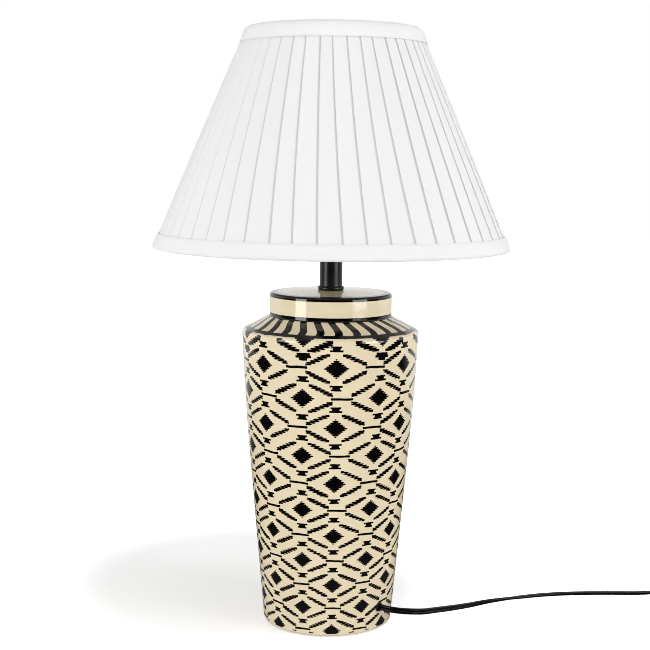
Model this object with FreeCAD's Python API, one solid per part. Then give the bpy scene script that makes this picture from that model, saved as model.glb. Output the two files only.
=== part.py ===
"""Ceramic table lamp with a pleated shade, as the separate pieces it is put together from.

Millimetres. The lamp stands on the XY plane with its axis on Z, and the viewer looks along +Y.
An azimuth here is measured from the viewer's side, -Y, and grows towards +X.
"""
import FreeCAD, Part
import math
import os

V = FreeCAD.Vector
ORIGIN = V(0, 0, 0)
UP = V(0, 0, 1)

# Ceramic body
body_height = 295.0
foot_radius = 57.0
foot_clearance = 1.0
lower_wall_height = 152.0
lower_wall_radius = 70.6
shoulder_radius = 77.7
upper_wall_bulge = 0.75
neck_radius = 53.7
neck_height = 20.3
neck_pad_rise = 1.9
neck_pad_radius = 14.0
shoulder_drop = 12.7
ceramic_wall = 5.0
shoulder_round = 4.0
foot_round = 2.5
neck_round = 2.0
neck_foot_round = 1.2
base_floor_height = 8.0
base_opening_radius = 40.0

# Felt under the foot
felt_radius = 50.0
felt_thickness = 2.5
felt_clearance = 0.4

# Threaded rod through the neck, with its washer and nut
rod_radius = 5.0
rod_bore_radius = 3.5
rod_clearance = 0.15
rod_below_nut = 4.0
rod_into_holder = 6.0
washer_radius = 21.0
washer_thickness = 2.0
nut_across_flats = 14.0
nut_thickness = 5.0

# Stem between the neck and the lampholder
collar_radius = 11.5
collar_height = 3.8
collar_round = 1.6
stem_radius = 9.9
stem_wall = 1.0
stem_length = 46.3
spigot_length = 3.0
spigot_clearance = 0.1

# Lampholder
cap_neck_height = 4.0
cap_flare_height = 10.0
cap_height = 21.0
cap_ledge_depth = 3.0
cap_ledge_width = 2.5
cap_floor_thickness = 5.0
holder_radius = 20.0
holder_wall = 2.0
holder_shell_height = 36.0
holder_lip_height = 3.0
holder_lip_radius = 15.6
holder_flange_radius = 23.5
holder_flange_height = 3.0
insert_clearance = 0.2
insert_height = 8.0
screw_shell_radius = 14.8
screw_shell_wall = 0.6
screw_shell_height = 25.0
screw_shell_floor_radius = 6.5
contact_strip_length = 9.0
contact_strip_width = 4.0
contact_strip_thickness = 0.5
contact_strip_rise = 2.9
terminal_screw_radius = 1.5
terminal_head_radius = 2.8
terminal_head_height = 2.2
terminal_screw_spacing = 18.0
screw_clearance = 0.1

# Bulb
bulb_contact_gap = 0.3
bulb_contact_radius = 4.5
bulb_contact_height = 1.2
bulb_insulator_radius = 11.0
bulb_insulator_height = 3.5
bulb_cap_radius = 13.2
bulb_cap_height = 21.5
bulb_cap_taper = 2.5
bulb_cap_wall = 0.5
bulb_radius = 30.0
bulb_length = 108.0
bulb_neck_radius = 14.8
bulb_neck_height = 4.0
bulb_glass_wall = 0.9
bulb_seat_depth = 5.0
bulb_seat_clearance = 0.2

# Ring that clamps the shade, and the gaps it runs with
ring_radius = 28.5
ring_height = 7.0
ring_clearance = 0.4
ring_knurl_count = 24
ring_knurl_radius = 1.6
running_gap = 0.3

# Shade: a cone from its bottom edge to its top edge, pleats measured at the fold edges
shade_bottom_height = 333.5
shade_height = 189.9
seam_radius_bottom = 149.6
seam_radius_top = 79.8
trim_width_bottom = 12.7
trim_width_top = 13.4
trim_thickness = 1.0
trim_clearance = 0.3
trim_round_bottom = 2.6
trim_round_top = 2.2
trim_top_flare = 1.4
pleat_count = 48
pleat_first_azimuth = 2.5
pleat_tuck_share = 0.4
pleat_edge_share = 0.03
fabric_thickness = 0.4
fabric_gap = 0.15
liner_thickness = 0.8
liner_gap = 0.3
wire_radius = 1.75
wire_gap = 0.3
fitter_radius = 28.0
fitter_clearance = 0.7
fitter_thickness = 2.0
arm_count = 3
arm_radius = 1.5
arm_first_azimuth = 60.0
arm_flat_length = 12.0
arm_overlap = 3.0

# Gland where the cord leaves the body, and the lead inside
gland_azimuth = 50.0
gland_height = 22.0
gland_radius = 4.2
gland_proud = 3.0
gland_round = 0.8
gland_hole_clearance = 0.1
gland_collar_radius = 6.2
gland_collar_thickness = 1.8
gland_collar_gap = 0.3
lead_clearance = 0.2
lead_bend_distance = 16.0
lead_bend_rise = 100.0

# Cord
cord_radius = 2.7
arc_share = 0.45

# Switch on the cord, laid along +X
switch_length = 76.0
switch_width = 24.0
switch_middle_length = 34.0
switch_nose_width = 9.0
switch_base_height = 8.0
switch_cover_height = 8.5
switch_edge_round = 2.0
switch_side_round = 12.0
window_length = 24.0
window_width = 11.8
pocket_margin = 1.0
pocket_floor = 2.5
rocker_gap = 0.5
rocker_width_gap = 0.4
rocker_pivot_height = 12.0
rocker_pivot_radius = 1.5
rocker_pivot_clearance = 0.06
rocker_pivot_length = 2.0
rocker_depth = 4.5
rocker_crown = 5.0
rocker_tilt = 8.0
switch_screw_radius = 1.5
switch_screw_head_radius = 2.75
switch_screw_head_height = 2.0
switch_screw_recess = 0.6
switch_screw_grip = 5.0
switch_screw_offset_x = 17.5
switch_screw_offset_y = 7.0

# Coil that the rest of the cord is wound into; it changes layer over twice this part of a turn
coil_turns_per_layer = 3
coil_rise_turn = 0.25
coil_mean_radius = 30.0
coil_gap = 0.7

# Two-pin plug, laid flat with its pins along -X
plug_length = 35.0
plug_face_width = 26.0
plug_width = 35.3
plug_rear_width = 14.0
plug_thickness = 13.7
plug_face_depth = 7.0
plug_taper_start = 16.0
plug_edge_round = 2.5
relief_length = 22.0
relief_radius_front = 5.5
relief_radius_rear = 3.5
pin_spacing = 18.6
pin_radius = 2.0
pin_length = 19.0
pin_tip_round = 1.2
pin_core_radius = 1.5
sleeve_length = 10.0
sleeve_clearance = 0.05
pin_root_depth = 6.0

# Cut tools run past what they cut by this much
overrun = 2.0

# Routes of the cord, chosen by hand: gland to switch, switch to coil, coil to plug
route_lamp = [
    (45.963, -38.567, 22.0), (52.09, -43.71, 22.0), (60.38, -46.94, 21.7), (69.27, -47.35, 21.2),
    (77.82, -44.88, 20.2), (85.13, -39.80, 18.6), (96.2, -24.1, 14.8), (108.5, -8.4, 10.9),
    (119.9, 6.2, 7.6), (128.0, 16.6, 5.5), (137.0, 26.9, 4.0), (147.2, 35.8, 3.2),
    (160.7, 43.9, 3.0), (182.3, 53.5, 3.0), (202.3, 60.6, 3.0), (226.0, 65.7, 3.0),
    (252.0, 68.2, 3.0), (278.0, 69.0, 3.0), (300.0, 68.5, 3.0), (317.0, 67.3, 4.4),
    (333.0, 67.0, 7.0), (345.0, 67.0, 7.0),
]
route_switch = [
    (421.0, 67.0, 7.0), (432.0, 67.0, 7.0), (445.0, 66.4, 4.2), (456.0, 66.0, 3.0),
    (466.0, 66.0, 3.0),
]
route_plug = [
    (467.948, -12.544, 9.1), (456.961, -13.089, 9.1), (444.5, -13.9, 5.6), (431.0, -14.0, 4.2),
    (418.5, -13.3, 5.2), (408.0, -13.0, 6.85), (399.0, -13.0, 6.85),
]

pieces = {}


def turned(outline, bulges=None):
    """Solid of revolution about Z; bulges maps a segment's index to its outward sagitta."""
    edges = []
    for i, start in enumerate(outline):
        end = outline[(i + 1) % len(outline)]
        a = V(start[0], 0, start[1])
        b = V(end[0], 0, end[1])
        if bulges and i in bulges:
            side = V(0, 1, 0).cross((b - a).normalize())
            middle = (a + b) * 0.5 + side * bulges[i]
            edges.append(Part.Arc(a, middle, b).toShape())
        else:
            edges.append(Part.LineSegment(a, b).toShape())
    return Part.Face(Part.Wire(edges)).revolve(ORIGIN, UP, 360)


def rounded_rings(solid, rings):
    """Round the circular edges about Z that lie at (radius, height), each by its own radius."""
    for radius, height, rounding in rings:
        chosen = []
        for edge in solid.Edges:
            curve = edge.Curve
            if not isinstance(curve, Part.Circle):
                continue
            near_height = math.isclose(curve.Center.z, height, rel_tol=1e-6)
            if near_height and math.isclose(curve.Radius, radius, rel_tol=1e-6):
                chosen.append(edge)
        solid = solid.makeFillet(rounding, chosen)
    return solid


def disc_or_ring(outer, bottom, height, inner=0):
    """Upright cylinder, or a ring where an inner radius is given."""
    body = Part.makeCylinder(outer, height, V(0, 0, bottom))
    if inner:
        body = body.cut(Part.makeCylinder(inner, height + 2 * overrun, V(0, 0, bottom - overrun)))
    return body


def around(azimuth):
    """Unit vector out from the axis at an azimuth in degrees."""
    angle = math.radians(azimuth)
    return V(math.sin(angle), -math.cos(angle), 0)


def route_wire(points, name):
    """Straight runs joined by tangent arcs, as large as the two runs at each point allow."""
    points = [V(*p) for p in points]
    edges = []
    radii = []
    at = points[0]
    for before, corner, after in zip(points, points[1:], points[2:]):
        run_in = corner - before
        run_out = after - corner
        shorter = min(run_in.Length, run_out.Length)
        half_turn = run_in.getAngle(run_out) / 2
        reach = arc_share * shorter
        radii.append(reach / math.tan(half_turn))
        into = run_in.normalize()
        out = run_out.normalize()
        start = corner - into * reach
        end = corner + out * reach
        chord_middle = (start + end) * 0.5
        towards = chord_middle - corner
        sagitta = reach * math.tan(half_turn / 2)
        middle = chord_middle - towards.normalize() * (sagitta * math.cos(half_turn))
        edges.append(Part.LineSegment(at, start).toShape())
        edges.append(Part.Arc(start, middle, end).toShape())
        at = end
    edges.append(Part.LineSegment(at, points[-1]).toShape())
    print(name, "radii", [round(radius, 1) for radius in radii])
    return Part.Wire(edges)


def tube(path, radius):
    """Round tube swept along a wire."""
    start = path.Edges[0]
    along = start.tangentAt(start.FirstParameter)
    section = Part.Wire(Part.makeCircle(radius, start.valueAt(start.FirstParameter), along))
    return path.makePipeShell([section], True, False)


def cord_tube(points, name):
    """A stretch of cord, with its volume printed beside section times length."""
    path = route_wire(points, name)
    solid = tube(path, cord_radius)
    expected = math.pi * cord_radius ** 2 * path.Length
    print(name, "length", round(path.Length, 1), "volume share", round(solid.Volume / expected, 4))
    return solid


def slab(outline, bottom, height):
    """Closed outline of (x, y) corners, pulled up from the bottom height."""
    corners = [V(x, y, bottom) for x, y in outline]
    return Part.Face(Part.makePolygon(corners + [corners[0]])).extrude(V(0, 0, height))


# Places along the axis that several pieces share
neck_foot_height = body_height - neck_height
shoulder_height = neck_foot_height - shoulder_drop
shoulder_slope = shoulder_drop / (shoulder_radius - neck_radius)
shoulder_wall_height = ceramic_wall * math.hypot(1, shoulder_slope)
disc_underside = body_height - ceramic_wall
neck_pad_height = body_height + neck_pad_rise
stem_bottom = neck_pad_height + collar_height
stem_top = stem_bottom + stem_length
cap_top = stem_top + cap_height
flange_top = cap_top + holder_flange_height
insert_bottom = cap_top - cap_ledge_depth
insert_top = insert_bottom + insert_height
shell_top = cap_top + holder_shell_height
fitter_bottom = flange_top + running_gap
fitter_top = fitter_bottom + fitter_thickness
rod_top = stem_top - spigot_length + cap_floor_thickness + rod_into_holder - spigot_length
rod_bottom = disc_underside - washer_thickness - nut_thickness - rod_below_nut


gland_reach = foot_radius + gland_proud


def wall_radius(height, inset):
    """Radius of the straight lower wall at a height, with the wall's inset from the outside."""
    share = (height - foot_clearance) / (lower_wall_height - foot_clearance)
    return foot_radius + share * (lower_wall_radius - foot_radius) - inset


def ceramic_body():
    inner_neck = neck_radius - ceramic_wall
    inner_shoulder = shoulder_radius - ceramic_wall
    inner_shoulder_height = (
        shoulder_height + ceramic_wall * shoulder_slope - shoulder_wall_height)
    inner_neck_foot = neck_foot_height + ceramic_wall * shoulder_slope - shoulder_wall_height
    felt_recess = felt_radius + felt_clearance
    outline = [
        (felt_recess, foot_clearance),
        (foot_radius, foot_clearance),
        (lower_wall_radius, lower_wall_height),
        (shoulder_radius, shoulder_height),
        (neck_radius, neck_foot_height),
        (neck_radius, body_height),
        (neck_pad_radius, neck_pad_height),
        (rod_radius + rod_clearance, neck_pad_height),
        (rod_radius + rod_clearance, disc_underside),
        (inner_neck, disc_underside),
        (inner_neck, inner_neck_foot),
        (inner_shoulder, inner_shoulder_height),
        (lower_wall_radius - ceramic_wall, lower_wall_height),
        (wall_radius(base_floor_height, ceramic_wall), base_floor_height),
        (base_opening_radius, base_floor_height),
        (base_opening_radius, felt_thickness),
        (felt_recess, felt_thickness),
    ]
    body = turned(outline, {2: upper_wall_bulge, 11: -upper_wall_bulge})
    body = rounded_rings(body, [
        (foot_radius, foot_clearance, foot_round),
        (shoulder_radius, shoulder_height, shoulder_round),
        (neck_radius, neck_foot_height, neck_foot_round),
        (neck_radius, body_height, neck_round),
    ])
    out = around(gland_azimuth)
    hole = Part.makeCylinder(
        gland_radius + gland_hole_clearance, ceramic_wall + 2 * overrun + gland_proud,
        out * (gland_reach - gland_proud - ceramic_wall - overrun) + V(0, 0, gland_height), out)
    return body.cut(hole)


def cord_gland():
    """Bush in the side hole: a plain barrel with a collar behind the wall."""
    wall_inside = wall_radius(gland_height - gland_collar_radius, ceramic_wall)
    collar_front = math.sqrt(wall_inside ** 2 - gland_collar_radius ** 2) - gland_collar_gap
    collar_back = collar_front - gland_collar_thickness
    barrel = disc_or_ring(gland_radius, collar_back, gland_reach - collar_back)
    barrel = rounded_rings(barrel, [(gland_radius, gland_reach, gland_round)])
    bush = barrel.fuse(disc_or_ring(gland_collar_radius, collar_back, gland_collar_thickness))
    bore = Part.makeCylinder(
        cord_radius + lead_clearance, gland_reach + overrun, V(0, 0, 0))
    bush = bush.cut(bore).removeSplitter()
    turn = FreeCAD.Rotation(UP, around(gland_azimuth))
    bush.Placement = FreeCAD.Placement(V(0, 0, gland_height), turn)
    return bush


def inner_lead():
    """The lead inside: from the gland's face across the foot and up the rod."""
    out = around(gland_azimuth)
    start = out * gland_reach + V(0, 0, gland_height)
    bend = out * lead_bend_distance + V(0, 0, gland_height)
    points = [start, bend, V(0, 0, gland_height + lead_bend_rise), V(0, 0, insert_bottom)]
    return cord_tube(points, "inner_lead")


def base_and_rod():
    pieces["base_felt"] = disc_or_ring(felt_radius, 0, felt_thickness)
    pieces["threaded_rod"] = disc_or_ring(
        rod_radius, rod_bottom, rod_top - rod_bottom, rod_bore_radius)
    nut_bottom = disc_underside - washer_thickness - nut_thickness
    pieces["lower_washer"] = disc_or_ring(
        washer_radius, disc_underside - washer_thickness, washer_thickness,
        rod_radius + rod_clearance)
    across_corners = nut_across_flats / math.cos(math.radians(30)) / 2
    corners = []
    for i in range(6):
        angle = math.radians(60 * i)
        corners.append((across_corners * math.cos(angle), across_corners * math.sin(angle)))
    nut = slab(corners, nut_bottom, nut_thickness)
    bore = disc_or_ring(rod_radius + rod_clearance, nut_bottom - overrun,
                        nut_thickness + 2 * overrun)
    pieces["lower_nut"] = nut.cut(bore)


def stem():
    tube_inside = stem_radius - stem_wall
    spigot = tube_inside - spigot_clearance
    bore = rod_radius + rod_clearance
    collar = turned([
        (bore, neck_pad_height),
        (collar_radius, neck_pad_height),
        (collar_radius, stem_bottom),
        (spigot, stem_bottom),
        (spigot, stem_bottom + spigot_length),
        (bore, stem_bottom + spigot_length),
    ])
    pieces["stem_collar"] = rounded_rings(collar, [
        (collar_radius, stem_bottom, collar_round),
        (collar_radius, neck_pad_height, collar_round),
    ])
    pieces["stem_tube"] = disc_or_ring(stem_radius, stem_bottom, stem_length, tube_inside)


def lampholder():
    spigot = stem_radius - stem_wall - spigot_clearance
    bore = rod_radius + rod_clearance
    inner = holder_radius - holder_wall
    ledge = inner - cap_ledge_width
    floor = stem_top - spigot_length + cap_floor_thickness
    flare_top = stem_top + cap_neck_height + cap_flare_height
    pieces["holder_cap"] = turned([
        (bore, stem_top - spigot_length),
        (spigot, stem_top - spigot_length),
        (spigot, stem_top),
        (stem_radius, stem_top),
        (stem_radius, stem_top + cap_neck_height),
        (holder_radius, flare_top),
        (holder_radius, cap_top),
        (inner, cap_top),
        (inner, insert_bottom),
        (ledge, insert_bottom),
        (ledge, flare_top),
        (bore + holder_wall, floor + cap_neck_height),
        (bore, floor + cap_neck_height),
    ], {4: holder_wall})
    pieces["holder_shell"] = turned([
        (inner, cap_top),
        (holder_flange_radius, cap_top),
        (holder_flange_radius, flange_top),
        (holder_radius, flange_top),
        (holder_radius, shell_top),
        (holder_lip_radius, shell_top),
        (holder_lip_radius, shell_top - holder_lip_height),
        (inner, shell_top - holder_lip_height),
    ])
    insert = disc_or_ring(inner - insert_clearance, insert_bottom, insert_height)
    screws = []
    for side in (-1, 1):
        place = V(side * terminal_screw_spacing / 2, 0, insert_bottom)
        hole = Part.makeCylinder(
            terminal_screw_radius + screw_clearance, insert_height / 2, place)
        insert = insert.cut(hole)
        shank = Part.makeCylinder(terminal_screw_radius, insert_height / 2, place)
        head = Part.makeCylinder(
            terminal_head_radius, terminal_head_height, place - V(0, 0, terminal_head_height))
        screws.append(shank.fuse(head).removeSplitter())
    pieces["holder_insert"] = insert
    pieces["terminal_screws"] = Part.makeCompound(screws)
    thread_inside = screw_shell_radius - screw_shell_wall
    pieces["screw_shell"] = turned([
        (screw_shell_floor_radius, insert_top),
        (screw_shell_radius, insert_top),
        (screw_shell_radius, insert_top + screw_shell_height),
        (thread_inside, insert_top + screw_shell_height),
        (thread_inside, insert_top + screw_shell_wall),
        (screw_shell_floor_radius, insert_top + screw_shell_wall),
    ])
    strip_end = contact_strip_length / 2
    knee = strip_end - contact_strip_rise
    thick = contact_strip_thickness
    profile = [
        (-strip_end, 0),
        (-knee / 2, 0),
        (0, contact_strip_rise - thick),
        (strip_end, contact_strip_rise - thick),
        (strip_end, contact_strip_rise),
        (-thick, contact_strip_rise),
        (-knee / 2 - thick, thick),
        (-strip_end, thick),
    ]
    corners = [V(x, -contact_strip_width / 2, insert_top + z) for x, z in profile]
    strip = Part.Face(Part.makePolygon(corners + [corners[0]]))
    pieces["centre_contact"] = strip.extrude(V(0, contact_strip_width, 0))


def tangent_point(start, centre_height, radius):
    """Where a line from a point (radius, height) touches the bulb's ball from below."""
    away = math.hypot(start[0], start[1] - centre_height)
    angle = math.atan2(start[1] - centre_height, start[0]) + math.acos(radius / away)
    return (radius * math.cos(angle), centre_height + radius * math.sin(angle))


def bulb_profile(inset, tip, seat_radius, seat_bottom, neck_top):
    """Half outline of the glass from its seat up to its top, set in by the wall."""
    radius = bulb_radius - inset
    centre = tip + bulb_length - bulb_radius
    neck = (bulb_neck_radius - inset, neck_top)
    touch = tangent_point(neck, centre, radius)
    angle = math.atan2(touch[1] - centre, touch[0])
    middle_angle = (angle + math.pi / 2) / 2
    middle = (radius * math.cos(middle_angle), centre + radius * math.sin(middle_angle))
    top = (0, centre + radius)
    return [(seat_radius, seat_bottom), (seat_radius, neck_top - bulb_neck_height), neck,
            touch, middle, top]


def bulb():
    tip = insert_top + contact_strip_rise + bulb_contact_gap
    insulator_bottom = tip + bulb_contact_height
    cap_bottom = insulator_bottom + bulb_insulator_height
    cap_rim = cap_bottom + bulb_cap_height
    pieces["bulb_contact"] = disc_or_ring(bulb_contact_radius, tip, bulb_contact_height)
    pieces["bulb_insulator"] = turned([
        (0, insulator_bottom),
        (bulb_contact_radius, insulator_bottom),
        (bulb_insulator_radius, cap_bottom),
        (0, cap_bottom),
    ])
    cap_inside = bulb_cap_radius - bulb_cap_wall
    pieces["bulb_cap"] = turned([
        (0, cap_bottom),
        (bulb_insulator_radius, cap_bottom),
        (bulb_cap_radius, cap_bottom + bulb_cap_taper),
        (bulb_cap_radius, cap_rim),
        (cap_inside, cap_rim),
        (cap_inside, cap_bottom + bulb_cap_taper),
        (bulb_insulator_radius - bulb_cap_wall, cap_bottom + bulb_cap_wall),
        (0, cap_bottom + bulb_cap_wall),
    ])
    seat_radius = cap_inside - bulb_seat_clearance
    seat_bottom = cap_rim - bulb_seat_depth
    neck_top = cap_rim + bulb_neck_height
    outer = bulb_profile(0, tip, seat_radius, seat_bottom, neck_top)
    inner = bulb_profile(
        bulb_glass_wall, tip, seat_radius - bulb_glass_wall, seat_bottom, neck_top)
    edges = []
    for profile in (outer, inner):
        points = [V(r, 0, z) for r, z in profile]
        for a, b in zip(points[:3], points[1:4]):
            edges.append(Part.LineSegment(a, b).toShape())
        edges.append(Part.Arc(points[3], points[4], points[5]).toShape())
    for i in (0, -1):
        a = V(outer[i][0], 0, outer[i][1])
        b = V(inner[i][0], 0, inner[i][1])
        edges.append(Part.LineSegment(a, b).toShape())
    wire = Part.Wire(Part.__sortEdges__(edges))
    pieces["bulb_glass"] = Part.Face(wire).revolve(ORIGIN, UP, 360)


def shade_ring():
    """Clamping ring with finger grips round its rim."""
    ring = disc_or_ring(ring_radius, fitter_top + running_gap, ring_height,
                        holder_radius + ring_clearance)
    for i in range(ring_knurl_count):
        place = around(360 * i / ring_knurl_count) * (ring_radius + ring_knurl_radius / 2)
        groove = Part.makeCylinder(
            ring_knurl_radius, ring_height + 2 * overrun,
            place + V(0, 0, fitter_top + running_gap - overrun))
        ring = ring.cut(groove)
    return ring


# The shade's cone runs through the fold edges at both seams
shade_top_height = shade_bottom_height + shade_height
seam_height_bottom = shade_bottom_height + trim_width_bottom
seam_height_top = shade_top_height - trim_width_top
cone_slope = (seam_radius_bottom - seam_radius_top) / (seam_height_top - seam_height_bottom)
apex_height = seam_height_bottom + seam_radius_bottom / cone_slope
cover_bottom = shade_bottom_height + trim_thickness + trim_clearance
cover_top = shade_top_height - trim_thickness - trim_clearance


def cone_radius(height):
    """Radius of the fold edges at a height."""
    return (apex_height - height) * cone_slope


cover_inset = 3 * fabric_thickness + 2 * fabric_gap
liner_outside = cover_inset + liner_gap
liner_inside = liner_outside + liner_thickness
wire_inset = liner_inside + wire_gap + wire_radius * math.hypot(1, cone_slope)
bottom_wire_height = cover_bottom + wire_radius
top_wire_height = cover_top - wire_radius
bottom_wire_radius = cone_radius(bottom_wire_height) - wire_inset
top_wire_radius = cone_radius(top_wire_height) - wire_inset


def cone_shell(outer_inset, inner_inset, bottom, top):
    """Thin cone between two insets from the fold edges."""
    return turned([
        (cone_radius(bottom) - outer_inset, bottom),
        (cone_radius(top) - outer_inset, top),
        (cone_radius(top) - inner_inset, top),
        (cone_radius(bottom) - inner_inset, bottom),
    ])


def pleat_sections():
    """Both faces of the folded cloth for one round, as (azimuth, depth under the fold edge).

    Each pleat runs from its fold edge down to the left edge of the next one, tucks in under
    it, folds back and comes up again as the next fold edge.
    """
    pitch = 360 / pleat_count
    tuck = pitch * pleat_tuck_share
    edge = pitch * pleat_edge_share
    one = fabric_thickness
    gap = fabric_gap
    low = cover_inset
    outer = []
    inner = []
    for i in range(pleat_count):
        fold = pleat_first_azimuth + i * pitch
        outer += [
            (fold, low - one - gap),
            (fold, 0),
            (fold + tuck + edge, 0),
            (fold + pitch, low - one),
            (fold + pitch + tuck - edge, low - one),
            (fold + pitch + tuck - edge, low - one - gap),
        ]
        inner += [
            (fold + edge, one + gap),
            (fold + edge, one),
            (fold + tuck + edge, one),
            (fold + pitch, low),
            (fold + pitch + tuck, low),
            (fold + pitch + tuck, one + gap),
        ]
    return outer, inner


def shade_cover():
    """Knife pleats: one folded strip of cloth all round, drawn in towards the cone's apex."""
    faces = []
    rims = {cover_bottom: [], cover_top: []}
    for section in pleat_sections():
        rings = {}
        for height in rims:
            draw_in = (apex_height - height) / (apex_height - cover_bottom)
            ring = []
            for azimuth, depth in section:
                reach = (cone_radius(cover_bottom) - depth) * draw_in
                ring.append(around(azimuth) * reach + V(0, 0, height))
            rings[height] = ring
            rims[height].append(Part.makePolygon(ring + [ring[0]]))
        low = rings[cover_bottom]
        high = rings[cover_top]
        for i in range(len(low)):
            j = (i + 1) % len(low)
            faces.append(Part.Face(Part.makePolygon([low[i], low[j], high[j], high[i], low[i]])))
    for wires in rims.values():
        faces.append(Part.makeFace(wires, "Part::FaceMakerBullseye"))
    return Part.Solid(Part.Shell(faces))


def trim(edge_height, seam_height, inward, flare, edge_round):
    """Band of cloth over an edge of the shade, turned in under the wire."""
    up = math.copysign(1, seam_height - edge_height)
    proud = trim_clearance + trim_thickness
    lip = edge_height + up * trim_thickness
    outer_edge = (cone_radius(edge_height) + proud + flare, edge_height)
    band = turned([
        (cone_radius(seam_height) + proud, seam_height),
        outer_edge,
        (inward, edge_height),
        (inward, lip),
        (cone_radius(lip) + trim_clearance + flare, lip),
        (cone_radius(seam_height) + trim_clearance, seam_height),
    ])
    return rounded_rings(band, [(outer_edge[0], outer_edge[1], edge_round)])


def shade_frame():
    """Welded carrier: fitter ring, arms and the wire in the shade's bottom edge."""
    fitter = disc_or_ring(
        fitter_radius, fitter_bottom, fitter_thickness, holder_radius + fitter_clearance)
    frame = fitter.fuse(
        Part.makeTorus(bottom_wire_radius, wire_radius, V(0, 0, bottom_wire_height)))
    arm_height = fitter_top - arm_radius
    for i in range(arm_count):
        out = around(arm_first_azimuth + 360 * i / arm_count)
        path = route_wire([
            out * (fitter_radius - arm_overlap) + V(0, 0, arm_height),
            out * (fitter_radius + arm_flat_length) + V(0, 0, arm_height),
            out * bottom_wire_radius + V(0, 0, bottom_wire_height),
        ], "arm")
        frame = frame.fuse(tube(path, arm_radius))
    return frame


def shade():
    pieces["shade_frame"] = shade_frame()
    pieces["shade_top_wire"] = Part.makeTorus(
        top_wire_radius, wire_radius, V(0, 0, top_wire_height))
    pieces["shade_liner"] = cone_shell(liner_outside, liner_inside, cover_bottom, cover_top)
    pieces["shade_cover"] = shade_cover()
    pieces["shade_bottom_trim"] = trim(
        shade_bottom_height, seam_height_bottom,
        bottom_wire_radius - wire_radius, 0, trim_round_bottom)
    pieces["shade_top_trim"] = trim(
        shade_top_height, seam_height_top,
        top_wire_radius - wire_radius, trim_top_flare, trim_round_top)


def switch_outline():
    """Plan of the switch: a middle block drawn in to a nose at each end."""
    half = switch_length / 2
    middle = switch_middle_length / 2
    wide = switch_width / 2
    nose = switch_nose_width / 2
    return [(-half, -nose), (-middle, -wide), (middle, -wide), (half, -nose),
            (half, nose), (middle, wide), (-middle, wide), (-half, nose)]


def rounded_sides(solid, rounding):
    """Round the upright edges where the middle block meets its noses."""
    chosen = []
    for edge in solid.Edges:
        a, b = [vertex.Point for vertex in edge.Vertexes]
        upright = abs(a.z - b.z) > abs(a.x - b.x) + abs(a.y - b.y)
        if upright and abs(a.y) > switch_nose_width:
            chosen.append(edge)
    return solid.makeFillet(rounding, chosen)


def switch():
    """Two half shells, screwed together from below, with a rocker in the upper one."""
    start = V(*route_lamp[-1])
    centre = V(start.x + switch_length / 2, start.y, 0)
    top = switch_base_height + switch_cover_height
    block = rounded_sides(slab(switch_outline(), 0, top), switch_side_round)
    rims = [e for e in block.Edges if e.BoundBox.ZLength < switch_edge_round]
    block = block.makeFillet(switch_edge_round, rims)
    wide = 2 * switch_length
    lower_box = Part.makeBox(
        wide, wide, wide, V(-wide / 2, -wide / 2, switch_base_height - wide))
    base = block.common(lower_box)
    cover = block.cut(lower_box)
    window = Part.makeBox(
        window_length, window_width, top,
        V(-window_length / 2, -window_width / 2, switch_base_height - overrun))
    pocket = Part.makeBox(
        window_length + 2 * pocket_margin, window_width + 2 * pocket_margin,
        switch_base_height, V(-window_length / 2 - pocket_margin,
                              -window_width / 2 - pocket_margin, pocket_floor))
    cover = cover.cut(window)
    base = base.cut(pocket)
    pivot_half = window_width / 2 - rocker_width_gap + rocker_pivot_length
    pivot_hole = Part.makeCylinder(
        rocker_pivot_radius + rocker_pivot_clearance,
        2 * (pivot_half + rocker_width_gap),
        V(0, -pivot_half - rocker_width_gap, rocker_pivot_height), V(0, 1, 0))
    cover = cover.cut(pivot_hole)
    screws = []
    for side in (-1, 1):
        place = V(side * switch_screw_offset_x, side * switch_screw_offset_y, 0)
        seat = switch_screw_recess + switch_screw_head_height
        counterbore = Part.makeCylinder(
            switch_screw_head_radius + screw_clearance, seat + overrun,
            place - V(0, 0, overrun))
        hole = Part.makeCylinder(
            switch_screw_radius + screw_clearance,
            switch_base_height + switch_screw_grip, place)
        base = base.cut(counterbore).cut(hole)
        cover = cover.cut(hole)
        head = Part.makeCylinder(
            switch_screw_head_radius, switch_screw_head_height,
            place + V(0, 0, switch_screw_recess))
        shank = Part.makeCylinder(
            switch_screw_radius, switch_base_height + switch_screw_grip - seat,
            place + V(0, 0, seat))
        screws.append(head.fuse(shank).removeSplitter())
    pieces["switch_base"] = base
    pieces["switch_cover"] = cover
    pieces["switch_screws"] = Part.makeCompound(screws)
    pieces["switch_rocker"] = rocker(pivot_half)
    for name in ("switch_base", "switch_cover", "switch_screws", "switch_rocker"):
        pieces[name].translate(centre)
    print("rocker pivot", centre + V(0, 0, rocker_pivot_height))


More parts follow.
